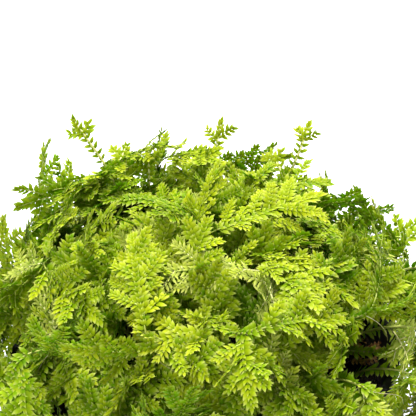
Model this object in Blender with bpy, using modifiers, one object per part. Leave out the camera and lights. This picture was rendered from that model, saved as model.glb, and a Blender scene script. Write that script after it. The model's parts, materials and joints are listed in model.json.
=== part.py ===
"""A golden spikemoss grown in a round plastic nursery pot.

The pot stands on z = 0 with its axis on Z. It is filled with soil, and each leafy spray is a solid of
its own whose stem stands in a plain hole in that soil. The sprays spread over a dome by the golden
angle, as leaves do round a stem. Each takes a seeded draw that clears the ones before it, and of those
the one that hides the most of what still lies bare under the foliage.
"""

import math
import random
from collections import namedtuple

import bmesh
import bpy
from mathutils import Matrix, Vector
from mathutils.bvhtree import BVHTree

MM = 0.001
UP = Vector((0, 0, 1))

# The pot: a 10.5 cm round nursery pot with a turned-out collar and a flat lip.
POT_HEIGHT = 92 * MM
POT_TOP_RADIUS = 52.5 * MM
POT_BASE_RADIUS = 36 * MM
POT_WALL = 1.4 * MM
POT_FLOOR = 2 * MM
LIP_WIDTH = 3 * MM
COLLAR_HEIGHT = 10 * MM
COLLAR_STEP = 2.6 * MM
POT_SIDES = 26
DRAIN_HOLES = 6
DRAIN_RADIUS = 4 * MM
DRAIN_SIDES = 8
DRAIN_RING = 22 * MM

# The soil fills the pot to a finger's width under the lip.
GAP = 0.3 * MM
SOIL_TOP = POT_HEIGHT - 11 * MM
SOIL_CROWN = 0.8 * MM
ROOT_DEPTH = 7 * MM
STEM_RADIUS = 0.6 * MM
HOLE_RADIUS = 1.15 * MM
HOLE_SIDES = 4

# The mound of foliage: half an egg, wider than the pot, centred level with the lip.
MOUND_RADIUS = 61 * MM
MOUND_HEIGHT = 48.5 * MM
MOUND_LOWEST = math.radians(103)
OVERHANG = math.radians(78)
ROOT_SPREAD = 39 * MM
SKIN_POINTS = 1600
SKIN_DEPTH = 14 * MM
SKIN_LOWEST = math.radians(80)
SPRAYS = 50
GOLDEN_ANGLE = math.pi * (3 - math.sqrt(5))
SEED = 5171

# One spray: a leafy main blade, and side blades that leave its stem lower down.
BLADE_THICKNESS = 0.62 * MM
RIB_WIDTH = 0.9 * MM
RIB_ROOT = 0.26 * MM
RIB_INSET = 0.7 * MM
LEAF_STEP = 4.7 * MM
LEAF_REACH = 10 * MM
LEAF_SWEEP = math.radians(56)
LEAF_RAISE = 0.14
MAIN_PAIRS = 5
SIDE_PAIRS = 3
SIDE_ANGLE = math.radians(48)
SIDE_PITCH = math.radians(14)
STEM_STOPS = (0, 0.4, 0.72, 0.9, 1)
LEAD = 14 * MM
TRIES = 900
PICKS = 60
TEST_GAP = 0.36 * MM

# The open cleft at the right of the front, through which the soil shows.
CLEFT_FLOOR = Vector((41 * MM, 11 * MM, SOIL_TOP))
CLEFT_VIEW = Vector((0, -math.cos(math.radians(32)), math.sin(math.radians(32))))
CLEFT_WIDTH = 5.2 * MM
CLEFT_RISE = 3.4 * MM

Blade = namedtuple("Blade", "start along up length bend pairs size")
Spray = namedtuple("Spray", "name stem blades")


def material(name, colour, roughness):
    made = bpy.data.materials.new(name)
    made.use_nodes = True
    shader = made.node_tree.nodes["Principled BSDF"]
    shader.inputs["Base Color"].default_value = (*colour, 1)
    shader.inputs["Roughness"].default_value = roughness
    shader.inputs["Metallic"].default_value = 0
    return made


def collection(name):
    made = bpy.data.collections.new(name)
    bpy.context.scene.collection.children.link(made)
    return made


def turned(name, profile, home, sides):
    """Turn a profile of (radius, height) points about Z. It starts and ends on the axis."""
    mesh = bpy.data.meshes.new(name)
    edges = [(k, k + 1) for k in range(len(profile) - 1)]
    mesh.from_pydata([(radius, 0, height) for radius, height in profile], edges, [])
    piece = bpy.data.objects.new(name, mesh)
    home.objects.link(piece)
    screw = piece.modifiers.new("turn", "SCREW")
    screw.steps = sides
    screw.render_steps = sides
    screw.use_merge_vertices = True
    screw.merge_threshold = 0.00001
    screw.use_smooth_shade = True
    return piece


def cylinder(name, radius, low, high, place, sides, home):
    """A plain upright prism, used as a cutter."""
    mesh = bpy.data.meshes.new(name)
    shape = bmesh.new()
    bmesh.ops.create_cone(shape, cap_ends=True, segments=sides, radius1=radius, radius2=radius, depth=high - low)
    shape.to_mesh(mesh)
    shape.free()
    piece = bpy.data.objects.new(name, mesh)
    piece.location = (place[0], place[1], (low + high) / 2)
    piece.hide_render = True
    piece.display_type = "WIRE"
    home.objects.link(piece)
    return piece


def join_or_cut(piece, home, operation):
    """Apply one Boolean with everything in a collection, then remove what it used."""
    boolean = piece.modifiers.new("boolean", "BOOLEAN")
    boolean.operation = operation
    boolean.operand_type = "COLLECTION"
    boolean.collection = home
    boolean.solver = "EXACT"
    bpy.context.view_layer.update()
    evaluated = piece.evaluated_get(bpy.context.evaluated_depsgraph_get())
    result = bpy.data.meshes.new_from_object(evaluated)
    piece.modifiers.clear()
    piece.data = result
    for used in list(home.objects):
        bpy.data.objects.remove(used)


def wall_radius(height):
    """The outer radius of the pot's tapered wall below its collar."""
    top = POT_TOP_RADIUS - COLLAR_STEP
    return POT_BASE_RADIUS + (top - POT_BASE_RADIUS) * height / (POT_HEIGHT - COLLAR_HEIGHT)


def make_pot(home, cutters):
    under = POT_HEIGHT - COLLAR_HEIGHT
    lip = POT_TOP_RADIUS - LIP_WIDTH
    edge = 0.7 * MM
    profile = [
        (0, POT_FLOOR),
        (wall_radius(POT_FLOOR) - POT_WALL, POT_FLOOR),
        (wall_radius(under) - POT_WALL, under + POT_WALL),
        (lip - edge / 3, under + 2 * POT_WALL),
        (lip, POT_HEIGHT - edge),
        (lip + edge / 2, POT_HEIGHT),
        (POT_TOP_RADIUS - edge, POT_HEIGHT),
        (POT_TOP_RADIUS, POT_HEIGHT - edge),
        (POT_TOP_RADIUS - edge / 2, under + edge),
        (POT_TOP_RADIUS - edge, under),
        (wall_radius(under), under),
        (wall_radius(edge), edge),
        (POT_BASE_RADIUS - edge, 0),
        (0, 0),
    ]
    pot = turned("pot", profile, home, POT_SIDES)
    for k in range(DRAIN_HOLES):
        angle = math.tau * k / DRAIN_HOLES
        place = (DRAIN_RING * math.cos(angle), DRAIN_RING * math.sin(angle))
        cylinder(f"drain_{k + 1}", DRAIN_RADIUS, -POT_FLOOR, 2 * POT_FLOOR, place, DRAIN_SIDES, cutters)
    join_or_cut(pot, cutters, "DIFFERENCE")
    pot.data.set_sharp_from_angle(angle=math.radians(35))
    pot.data.materials.clear()
    pot.data.materials.append(material("black_plastic", (0.012, 0.013, 0.015), 0.42))


def make_soil(home, cutters, sprays):
    inner = POT_WALL + GAP * 1.3
    low = POT_FLOOR + GAP
    profile = [
        (0, SOIL_TOP + SOIL_CROWN),
        (ROOT_SPREAD, SOIL_TOP),
        (wall_radius(SOIL_TOP) - inner, SOIL_TOP - SOIL_CROWN),
        (wall_radius(low) - inner, low),
        (0, low),
    ]
    soil = turned("soil", profile, home, POT_SIDES)
    for spray in sprays:
        foot = spray.stem[0]
        cylinder(spray.name + "_hole", HOLE_RADIUS, foot.z - GAP, SOIL_TOP + 5 * MM, foot, HOLE_SIDES, cutters)
    join_or_cut(soil, cutters, "DIFFERENCE")
    soil.data.set_sharp_from_angle(angle=math.radians(35))
    soil.data.materials.clear()
    soil.data.materials.append(material("potting_soil", (0.035, 0.022, 0.014), 0.95))


def curve_points(start, lift, lead, end, stops):
    """Points along one smooth bend from start to end, leaving towards lift and arriving from lead."""
    points = []
    for t in stops:
        s = 1 - t
        points.append(start * s**3 + lift * (3 * s * s * t) + lead * (3 * s * t * t) + end * t**3)
    return points


def station(blade, distance):
    """The rib's point and directions this far along a blade, which bends down like a bow."""
    turn = blade.bend * distance / blade.length
    radius = blade.length / blade.bend
    along = blade.along * math.cos(turn) - blade.up * math.sin(turn)
    up = blade.up * math.cos(turn) + blade.along * math.sin(turn)
    point = blade.start + blade.along * (radius * math.sin(turn)) - blade.up * (radius * (1 - math.cos(turn)))
    return point, along, up, along.cross(up)


def leaf_length(share):
    """How long a leaflet is, as a share of the longest, at this share of the blade."""
    return 0.62 + 0.38 * math.sin(math.pi * (0.15 + 0.7 * share))


def blade_surface(shape, blade, extra):
    """Add a blade's open surface: a narrow rib, a pointed leaflet each side of it at every step."""
    step = LEAF_STEP * blade.size
    longest = LEAF_REACH * blade.size
    lead = blade.length - blade.pairs * step
    stops = [0] + [lead + k * step for k in range(blade.pairs + 1)]
    rows = []
    for distance in stops:
        point, _, _, side = station(blade, distance)
        width = RIB_WIDTH if rows else RIB_ROOT
        half = side * (width / 2 + extra)
        rows.append((shape.verts.new(point - half), shape.verts.new(point + half)))
    faces = []
    for (left, right), (next_left, next_right) in zip(rows, rows[1:]):
        faces.append(shape.faces.new((left, right, next_right)))
        faces.append(shape.faces.new((left, next_right, next_left)))
    for k in range(blade.pairs):
        share = (k + 0.5) / blade.pairs
        point, along, up, side = station(blade, stops[k + 1] + step / 2)
        reach = longest * leaf_length(share) + extra
        forward = along * (reach * math.cos(LEAF_SWEEP))
        outward = side * (reach * math.sin(LEAF_SWEEP))
        raised = up * (LEAF_RAISE * reach)
        (left, right), (next_left, next_right) = rows[k + 1], rows[k + 2]
        tip = shape.verts.new(point + forward - outward + raised)
        faces.append(shape.faces.new((left, next_left, tip)))
        tip = shape.verts.new(point + forward + outward + raised)
        faces.append(shape.faces.new((next_right, right, tip)))
    point, along, up, _ = station(blade, blade.length)
    tip = shape.verts.new(point + along * (longest * 0.62 + extra))
    faces.append(shape.faces.new((*rows[-1], tip)))
    return faces


def stem_tube(shape, points, radius):
    """Add a square tube along a stem, to stand for it when clearances are tested."""
    rows = []
    for before, point, after in zip([points[0]] + points, points, points[1:] + [points[-1]]):
        flow = (after - before).normalized()
        side = flow.cross(Vector((0.3, 0.9, 0))).normalized() * radius
        turn = flow.cross(side)
        rows.append([shape.verts.new(point + offset) for offset in (side, turn, -side, -turn)])
    for row, other in zip(rows, rows[1:]):
        for k in range(4):
            shape.faces.new((row[k - 1], row[k], other[k], other[k - 1]))
    shape.faces.new(rows[-1])


def outline(blades, stem, extra):
    """Blades and a stem as a rough shape, grown by extra all round, for clearance tests."""
    shape = bmesh.new()
    for blade in blades:
        lift = blade.up * (BLADE_THICKNESS / 2 + extra)
        faces = blade_surface(shape, blade._replace(start=blade.start + lift), extra)
        shape.normal_update()
        bmesh.ops.solidify(shape, geom=faces, thickness=BLADE_THICKNESS + 2 * extra)
    leaf_points = [vert.co.copy() for vert in shape.verts]
    if stem:
        stem_tube(shape, stem, STEM_RADIUS + extra)
    tree = BVHTree.FromBMesh(shape)
    shape.free()
    return tree, leaf_points


def tangled(spray):
    """Whether any two blades of a spray cross each other."""
    trees = [outline([blade], [], 0)[0] for blade in spray.blades]
    return any(tree.overlap(other) for k, tree in enumerate(trees) for other in trees[:k])


def clears_pot(point):
    """Whether a point of a leaf keeps clear of the soil and of the pot's lip and wall."""
    radius = math.hypot(point.x, point.y)
    if point.z > POT_HEIGHT + 1.2 * MM:
        return True
    if radius < POT_TOP_RADIUS - 6 * MM:
        return point.z > SOIL_TOP + 2 * MM
    return radius > POT_TOP_RADIUS + 1.4 * MM


def in_cleft(point):
    """Whether a point hides the floor of the cleft from the front."""
    offset = point - CLEFT_FLOOR
    ahead = offset.dot(CLEFT_VIEW)
    if ahead < 0:
        return False
    rise = offset.dot(CLEFT_VIEW.cross(Vector((1, 0, 0))))
    return (offset.x / CLEFT_WIDTH) ** 2 + (rise / CLEFT_RISE) ** 2 < 1


def stem_clears(points):
    """Whether a stem, once out of the soil, keeps off the lip all along."""
    for point, other in zip(points, points[1:]):
        for share in (0, 0.25, 0.5, 0.75, 1):
            spot = point.lerp(other, share)
            if math.hypot(spot.x, spot.y) > POT_TOP_RADIUS - 6 * MM and not clears_pot(spot):
                return False
    return True


def side_blade(stem, place, up, hand, size, bend):
    """A blade that leaves the stem at a point of it, angled to one side and pitched down."""
    flow = (stem[place] - stem[place - 1]).normalized()
    start = stem[place].lerp(stem[place - 1], 0.35)
    level = (up - flow * up.dot(flow)).normalized()
    side = flow.cross(level)
    along = flow * math.cos(SIDE_ANGLE) + side * (hand * math.sin(SIDE_ANGLE))
    pitched = (along * math.cos(SIDE_PITCH) - level * math.sin(SIDE_PITCH)).normalized()
    top = (level - pitched * level.dot(pitched)).normalized()
    return Blade(start, pitched, top, (SIDE_PAIRS + 1.1) * LEAF_STEP * size, bend, SIDE_PAIRS, size)


def fork(name, root, base, along, up, rng, size, sides=2):
    """A spray with its stem rooted at root, whose main blade starts at base."""
    height = max(base.z, POT_HEIGHT + 7 * MM) - root.z
    far = math.hypot(base.x, base.y) > POT_TOP_RADIUS - 12 * MM
    lift = root + UP * (height * (0.8 if far else 0.5))
    lead = base - along * (LEAD * size)
    foot = Vector((root.x, root.y, SOIL_TOP - ROOT_DEPTH))
    stem = [foot] + curve_points(root, lift, lead, base, STEM_STOPS)
    length = (MAIN_PAIRS + 1) * LEAF_STEP * size
    start = base - along * RIB_INSET
    bend = math.radians(rng.uniform(12, 40))
    blades = [Blade(start, along, up, length, bend, MAIN_PAIRS, size)]
    hand = rng.choice((-1, 1))
    for place in (-2, -3)[:sides]:
        bend = math.radians(rng.uniform(10, 35))
        blades.append(side_blade(stem, place, up, hand, 0.92 * size, bend))
        hand = -hand
    return Spray(name, stem, blades)


def on_mound(theta, phi, lift):
    """A point of the mound's skin, with its outward and downhill directions."""
    round_about = Vector((math.cos(phi), math.sin(phi), 0))
    radius = MOUND_RADIUS + lift
    height = MOUND_HEIGHT + lift
    point = round_about * (radius * math.sin(theta)) + UP * (height * math.cos(theta) + POT_HEIGHT)
    outward = (round_about * (math.sin(theta) / radius) + UP * (math.cos(theta) / height)).normalized()
    across = UP.cross(round_about)
    return point, outward, across.cross(outward).normalized()


def draw_spray(name, rng, theta, phi, root, ease):
    """One seeded draw of a spray whose main blade lies across the mound's skin."""
    if theta < OVERHANG:
        lift = rng.uniform(-11 * MM, 1.5 * MM) - ease * rng.uniform(0, 14 * MM)
    else:
        lift = rng.uniform(-1 * MM, 4 * MM)
    middle, outward, downhill = on_mound(theta + rng.gauss(0, 0.05), phi + rng.gauss(0, 0.05), lift)
    across = outward.cross(downhill)
    heading = rng.gauss(0, 1.15 if theta < OVERHANG else 0.7)
    level = downhill * math.cos(heading) + across * math.sin(heading)
    rise = rng.uniform(-0.1, 0.35) + 0.25 * max(0, math.cos(theta))
    along = (level * math.cos(rise) + outward * math.sin(rise)).normalized()
    up = (outward - along * outward.dot(along)).normalized()
    up = Matrix.Rotation(rng.gauss(0, 0.3), 3, along) @ up
    size = rng.uniform(0.85, 1.08) * (1 - 0.3 * ease)
    base = middle - along * (MAIN_PAIRS * LEAF_STEP * size * 0.5)
    return fork(name, root, base, along, up, rng, size)


# Sprays placed by hand, in mm: those that stand out of the mound's top, and two at the cleft. Each
# has its root, the start of its main blade, that blade's direction and upper side, size and side blades.
PLACED = [
    ("sprig_left", (-22, 20), (-28, 33, 127), (-0.48, 0.0, 0.88), (0.25, -0.9, 0.2), 0.5, 1),
    ("sprig_right", (16, 24), (25, 37, 122), (0.35, 0.0, 0.94), (-0.15, -0.95, 0.15), 0.44, 1),
    ("sprig_peak", (-1, 24), (1, 39, 119), (0.1, 0.0, 0.98), (0.0, -0.98, 0.1), 0.5, 2),
    ("sprig_crest", (-14, 18), (-15, 32, 117), (-0.02, 0.0, 0.98), (0.1, -0.97, 0.1), 0.48, 2),
    ("cleft_runner", (27, -6), (45, -12, 95.8), (0.94, -0.2, 0.13), (-0.13, -0.1, 0.98), 0.45, 0),
    ("cleft_hanger", (33, 20), (40, 9, 112), (0.35, -0.62, -0.62), (0.1, -0.6, 0.75), 0.52, 1),
]


def placed_spray(rng, name, root, base, along, up, size, sides):
    """A hand-placed spray, with its bends and the side of its blades drawn."""
    foot = Vector((root[0] * MM, root[1] * MM, SOIL_TOP))
    base = Vector(base) * MM + Vector([rng.gauss(0, 0.7 * MM) for _ in range(3)])
    along = Vector(along).normalized()
    up = Vector(up)
    up = (up - along * up.dot(along)).normalized()
    return fork(name, foot, base, along, up, rng, size, sides)


def mound_sprays():
    """For each spray of the mound, its name, where its blade lies and where its stem is rooted."""
    for k in range(SPRAYS):
        share = (k + 0.5) / SPRAYS
        theta = math.acos(1 - share * (1 - math.cos(MOUND_LOWEST)))
        phi = k * GOLDEN_ANGLE
        spread = ROOT_SPREAD * math.sqrt(share)
        root = Vector((spread * math.cos(phi), spread * math.sin(phi), SOIL_TOP))
        for _, (x, y), *_ in PLACED:
            if math.hypot(root.x - x * MM, root.y - y * MM) < 3 * HOLE_RADIUS:
                root += Vector((root.x, root.y, 0)).normalized() * (3 * HOLE_RADIUS)
        yield f"spray_{k + 1:02d}", theta, phi, root


def skin_points():
    """Even points over the mound just under its foliage, each with the direction outward."""
    for k in range(SKIN_POINTS):
        share = (k + 0.5) / SKIN_POINTS
        theta = math.acos(1 - share * (1 - math.cos(SKIN_LOWEST)))
        point, outward, _ = on_mound(theta, k * GOLDEN_ANGLE, -SKIN_DEPTH)
        yield point, outward


def lay_out():
    """Every spray, the hand-placed ones first.

    Each takes, from its first few draws that clear all the sprays before it, the one that hides the
    most of the mound's skin that still lay bare, so that the foliage covers it.
    """
    sprays = []
    trees = []
    bare = list(skin_points())

    def hidden_by(tree):
        return [spot for spot in bare if tree.ray_cast(*spot)[0] is not None]

    def place(seed, draw, in_mound, picks):
        best = None
        found = 0
        for attempt in range(TRIES):
            spray = draw(random.Random(seed + attempt), attempt / TRIES)
            if tangled(spray) or not stem_clears(spray.stem[2:]):
                continue
            tree, points = outline(spray.blades, spray.stem, TEST_GAP)
            if not all(map(clears_pot, points)) or (in_mound and any(map(in_cleft, points))):
                continue
            if any(tree.overlap(other) for other in trees):
                continue
            hidden = hidden_by(tree)
            if best is None or len(hidden) > len(best[1]):
                best = spray, hidden
            found += 1
            if found == picks:
                break
        if best is None:
            print("no room for the spray of seed", seed)
            return
        spray, hidden = best
        sprays.append(spray)
        trees.append(outline(spray.blades, spray.stem, 0)[0])
        covered = set(map(id, hidden))
        bare[:] = [spot for spot in bare if id(spot) not in covered]

    for k, placed in enumerate(PLACED):
        place(SEED * (k + 1), lambda rng, ease: placed_spray(rng, *placed), False, 1)
    for k, (name, theta, phi, root) in enumerate(mound_sprays()):
        place(SEED + 1000 * k, lambda rng, ease: draw_spray(name, rng, theta, phi, root, ease), True, PICKS)
    return sprays


def make_spray(spray, home, pieces, finish):
    """Fuse a spray's stem and blades into one solid."""
    line = bpy.data.curves.new(spray.name, "CURVE")
    line.dimensions = "3D"
    line.bevel_depth = STEM_RADIUS
    line.bevel_resolution = 0
    line.use_fill_caps = True
    spline = line.splines.new("POLY")
    spline.points.add(len(spray.stem) - 1)
    for point, place in zip(spline.points, spray.stem):
        point.co = (*place, 1)
    curve = bpy.data.objects.new(spray.name + "_line", line)
    pieces.objects.link(curve)
    bpy.context.view_layer.update()
    evaluated = curve.evaluated_get(bpy.context.evaluated_depsgraph_get())
    mesh = bpy.data.meshes.new_from_object(evaluated)
    mesh.name = spray.name
    bpy.data.objects.remove(curve)
    shape = bmesh.new()
    shape.from_mesh(mesh)
    bmesh.ops.remove_doubles(shape, verts=shape.verts, dist=0.00001)
    shape.to_mesh(mesh)
    shape.free()
    stem = bpy.data.objects.new(spray.name, mesh)
    home.objects.link(stem)
    for k, blade in enumerate(spray.blades):
        surface = bpy.data.meshes.new(f"{spray.name}_blade_{k + 1}")
        shape = bmesh.new()
        blade_surface(shape, blade, 0)
        shape.to_mesh(surface)
        shape.free()
        piece = bpy.data.objects.new(surface.name, surface)
        thicken = piece.modifiers.new("thickness", "SOLIDIFY")
        thicken.thickness = BLADE_THICKNESS
        thicken.offset = 0
        pieces.objects.link(piece)
    join_or_cut(stem, pieces, "UNION")
    stem.data.materials.clear()
    stem.data.materials.append(finish)


def build():
    for thing in list(bpy.data.objects):
        bpy.data.objects.remove(thing)
    home = collection("potted_spikemoss")
    pieces = collection("cutters_and_blades")
    sprays = lay_out()
    make_pot(home, pieces)
    make_soil(home, pieces, sprays)
    green = material("spikemoss_green", (0.30, 0.46, 0.04), 0.55)
    for spray in sprays:
        make_spray(spray, home, pieces, green)
    bpy.data.collections.remove(pieces)


build()
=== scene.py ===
import json
import math
import random
from collections import namedtuple

import bmesh
import bpy
import numpy as np
from mathutils import Matrix, Vector, noise
from mathutils.kdtree import KDTree

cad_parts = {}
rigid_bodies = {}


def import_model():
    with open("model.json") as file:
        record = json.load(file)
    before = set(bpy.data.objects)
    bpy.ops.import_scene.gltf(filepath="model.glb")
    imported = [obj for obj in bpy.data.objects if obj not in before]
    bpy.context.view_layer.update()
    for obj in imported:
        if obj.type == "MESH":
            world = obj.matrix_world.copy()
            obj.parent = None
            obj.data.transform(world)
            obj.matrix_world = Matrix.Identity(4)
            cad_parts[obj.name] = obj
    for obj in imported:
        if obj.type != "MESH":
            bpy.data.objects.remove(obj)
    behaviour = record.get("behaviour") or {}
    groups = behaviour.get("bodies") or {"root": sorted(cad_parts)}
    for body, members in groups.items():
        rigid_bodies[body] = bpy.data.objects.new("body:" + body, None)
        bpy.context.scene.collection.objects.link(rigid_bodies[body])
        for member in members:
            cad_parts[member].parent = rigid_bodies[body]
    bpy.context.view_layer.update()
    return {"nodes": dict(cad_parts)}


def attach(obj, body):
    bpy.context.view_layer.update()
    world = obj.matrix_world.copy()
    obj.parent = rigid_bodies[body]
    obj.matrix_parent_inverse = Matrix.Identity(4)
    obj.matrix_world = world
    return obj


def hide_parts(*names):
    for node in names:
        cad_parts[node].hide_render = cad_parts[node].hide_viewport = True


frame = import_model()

# The room: a wide white floor under an even white sky, with three soft lights: one over the plant, one
# at the front left and a broad one behind, as a nursery's catalogue picture is lit. The camera looks
# down 32 degrees at the pot's lip, close enough that the plant fills the frame.
MM = 0.001
UP = Vector((0, 0, 1))
POT_HEIGHT = 92 * MM
VIEW_PITCH = math.radians(32)
VIEW_DISTANCE = 0.40
FRAME_PIXELS = 416
PIXEL = 0.27 * MM
LIP_CENTRE_PIXEL = (205, 338)
SENSOR = 36
look = Vector((0, math.cos(VIEW_PITCH), -math.sin(VIEW_PITCH)))
picture_up = Vector((0, math.sin(VIEW_PITCH), math.cos(VIEW_PITCH)))
picture_right = Vector((1, 0, 0))
aim_rise = (LIP_CENTRE_PIXEL[1] - FRAME_PIXELS / 2) * PIXEL
aim_right = (FRAME_PIXELS / 2 - LIP_CENTRE_PIXEL[0]) * PIXEL
aim = Vector((0, 0, POT_HEIGHT)) + picture_up * aim_rise + picture_right * aim_right
camera_data = bpy.data.cameras.new("camera")
camera_data.sensor_width = SENSOR
camera_data.lens = SENSOR * VIEW_DISTANCE / (FRAME_PIXELS * PIXEL)
camera = bpy.data.objects.new("camera", camera_data)
camera.location = aim - look * VIEW_DISTANCE
camera.rotation_euler = (math.pi / 2 - VIEW_PITCH, 0, 0)
bpy.context.scene.collection.objects.link(camera)
bpy.context.scene.camera = camera
bpy.context.scene.view_settings.view_transform = "Standard"


def soft_light(name, place, size, watts):
    """A round lamp of this width in metres, turned towards the pot's lip."""
    light = bpy.data.lights.new(name, "AREA")
    light.shape = "DISK"
    light.size = size
    light.energy = watts
    lamp = bpy.data.objects.new(name, light)
    lamp.location = place
    beam = Vector((0, 0, POT_HEIGHT)) - Vector(place)
    lamp.rotation_euler = beam.to_track_quat("-Z", "Y").to_euler()
    bpy.context.scene.collection.objects.link(lamp)


soft_light("sky_panel", (0.06, 0.12, 1.1), 0.4, 17.5)
soft_light("front_panel", (-0.6, -0.8, 0.8), 0.4, 10.5)
soft_light("back_panel", (0.2, 0.8, 1.0), 0.6, 18)
world = bpy.data.worlds.new("white_room")
world.use_nodes = True
sky = world.node_tree.nodes["Background"]
sky.inputs["Color"].default_value = (1, 1, 1, 1)
sky.inputs["Strength"].default_value = 0.18
bpy.context.scene.world = world


class Link:
    """A shader socket. It can be added to, taken from a number or multiplied, by a Math node each."""

    def __init__(self, finish, socket):
        self.finish = finish
        self.socket = socket

    def maths(self, operation, first, second):
        return self.finish.node("ShaderNodeMath", {"operation": operation}, {0: first, 1: second})

    def __add__(self, other):
        return self.maths("ADD", self, other)

    def __rsub__(self, other):
        return self.maths("SUBTRACT", other, self)

    def __mul__(self, other):
        return self.maths("MULTIPLY", self, other)

    __radd__ = __add__
    __rmul__ = __mul__


class Finish:
    """A procedural material, whose node method adds any node and returns one of its outputs."""

    def __init__(self, name, roughness, **uniform):
        self.material = bpy.data.materials.new(name)
        self.material.use_nodes = True
        self.tree = self.material.node_tree
        self.shader = self.tree.nodes["Principled BSDF"]
        self.shader.inputs["Roughness"].default_value = roughness
        for socket, value in uniform.items():
            self.shader.inputs[socket.replace("_", " ")].default_value = value

    def node(self, kind, settings, inputs, output=0):
        made = self.tree.nodes.new(kind)
        for name, value in settings.items():
            setattr(made, name, value)
        for name, value in inputs.items():
            self.feed(made.inputs[name], value)
        return Link(self, made.outputs[output])

    def feed(self, socket, value):
        if isinstance(value, Link):
            self.tree.links.new(value.socket, socket)
        else:
            socket.default_value = value

    def set(self, name, value):
        self.feed(self.shader.inputs[name], value)

    def place(self):
        return self.node("ShaderNodeTexCoord", {}, {}, "Object")

    def grown(self, name):
        """A number that each corner of the mesh holds under this name."""
        return self.node("ShaderNodeAttribute", {"attribute_name": name}, {}, "Fac")

    def grain(self, scale, detail=3, rough=0.5):
        """Noise from 0 to 1 at this many cells a metre."""
        settings = {"noise_dimensions": "3D"}
        inputs = {"Vector": self.place(), "Scale": scale, "Detail": detail, "Roughness": rough}
        return self.node("ShaderNodeTexNoise", settings, inputs, "Fac")

    def blend(self, share, first, second):
        """Mix two colours."""
        settings = {"data_type": "RGBA", "clamp_factor": True}
        return self.node("ShaderNodeMix", settings, {0: share, 6: first, 7: second}, 2)

    def ranged(self, value, low, high, end=1):
        """A smooth step from 0, where the value is low, to end, where it is high."""
        settings = {"interpolation_type": "SMOOTHSTEP"}
        inputs = {"Value": value, "From Min": low, "From Max": high, "To Min": 0, "To Max": end}
        return self.node("ShaderNodeMapRange", settings, inputs, 0)

    def relief(self, height, strength, distance):
        """Raise the surface by a height from 0 to 1, which stands for this distance."""
        inputs = {"Height": height, "Strength": strength, "Distance": distance}
        self.set("Normal", self.node("ShaderNodeBump", {}, inputs, "Normal"))


floor_mesh = bpy.data.meshes.new("floor")
floor_shape = bmesh.new()
bmesh.ops.create_grid(floor_shape, x_segments=1, y_segments=1, size=4)
floor_shape.to_mesh(floor_mesh)
floor_shape.free()
floor = bpy.data.objects.new("floor", floor_mesh)
bpy.context.scene.collection.objects.link(floor)
floor_finish = Finish("white_floor", 0.9)
floor_finish.set("Base Color", (0.93, 0.93, 0.93, 1))
floor_mesh.materials.append(floor_finish.material)


# The pot: one thin cup of black polypropylene, injection moulded, with a turned-out collar, a flat lip
# and drainage holes. It is satin, with faint upright drag marks from the mould, scuffs and some dust.
POT_TOP_RADIUS = 52.5 * MM
POT_BASE_RADIUS = 36 * MM
POT_WALL = 1.4 * MM
POT_FLOOR = 2 * MM
LIP_WIDTH = 3 * MM
COLLAR_HEIGHT = 10 * MM
COLLAR_STEP = 2.6 * MM
LIP_ROUND = 0.7 * MM
POT_SIDES = 144
SHARP_EDGE = math.radians(35)
DRAIN_HOLES = 6
DRAIN_RADIUS = 4 * MM
DRAIN_RING = 22 * MM
DRAIN_SIDES = 32
home = bpy.data.collections.new("potted_spikemoss")
bpy.context.scene.collection.children.link(home)


def wall_radius(height):
    """The outer radius of the pot's tapered wall below its collar."""
    top = POT_TOP_RADIUS - COLLAR_STEP
    return POT_BASE_RADIUS + (top - POT_BASE_RADIUS) * height / (POT_HEIGHT - COLLAR_HEIGHT)


def rounded(centre, radius, start, end, steps=4):
    """Points of a small arc in the pot's profile, angles in degrees."""
    angles = [math.radians(start + (end - start) * k / steps) for k in range(steps + 1)]
    return [(centre[0] + radius * math.cos(a), centre[1] + radius * math.sin(a)) for a in angles]


def finished(piece, material, *nodes, slot):
    """Give a piece its finish, and hide the solids that it stands for."""
    piece.data.materials.clear()
    piece.data.materials.append(material)
    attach(piece, "root")
    if nodes:
        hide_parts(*nodes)


def applied(piece):
    """Turn a piece's modifiers into its mesh."""
    bpy.context.view_layer.update()
    mesh = bpy.data.meshes.new_from_object(piece.evaluated_get(bpy.context.evaluated_depsgraph_get()))
    piece.modifiers.clear()
    piece.data = mesh


under = POT_HEIGHT - COLLAR_HEIGHT
lip = POT_TOP_RADIUS - LIP_WIDTH
profile = [(0, POT_FLOOR), (wall_radius(POT_FLOOR) - POT_WALL, POT_FLOOR)]
profile += [(wall_radius(under) - POT_WALL, under + POT_WALL)]
profile += [(lip - LIP_ROUND / 3, under + 2 * POT_WALL)]
profile += rounded((lip + LIP_ROUND, POT_HEIGHT - LIP_ROUND), LIP_ROUND, 180, 90)
profile += rounded((POT_TOP_RADIUS - LIP_ROUND, POT_HEIGHT - LIP_ROUND), LIP_ROUND, 90, 0)
profile += rounded((POT_TOP_RADIUS - 1.5 * LIP_ROUND, under + LIP_ROUND / 2), LIP_ROUND / 2, 0, -90)
profile += [(wall_radius(under), under), (wall_radius(LIP_ROUND), LIP_ROUND)]
profile += [(POT_BASE_RADIUS - LIP_ROUND, 0), (0, 0)]
pot_mesh = bpy.data.meshes.new("nursery_pot")
pot_mesh.from_pydata([(r, 0, z) for r, z in profile], [(k, k + 1) for k in range(len(profile) - 1)], [])
pot = bpy.data.objects.new("nursery_pot", pot_mesh)
home.objects.link(pot)
turn = pot.modifiers.new("turn", "SCREW")
turn.steps = turn.render_steps = POT_SIDES
turn.use_merge_vertices = True
turn.merge_threshold = 0.01 * MM
drills = bpy.data.collections.new("drills")
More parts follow.
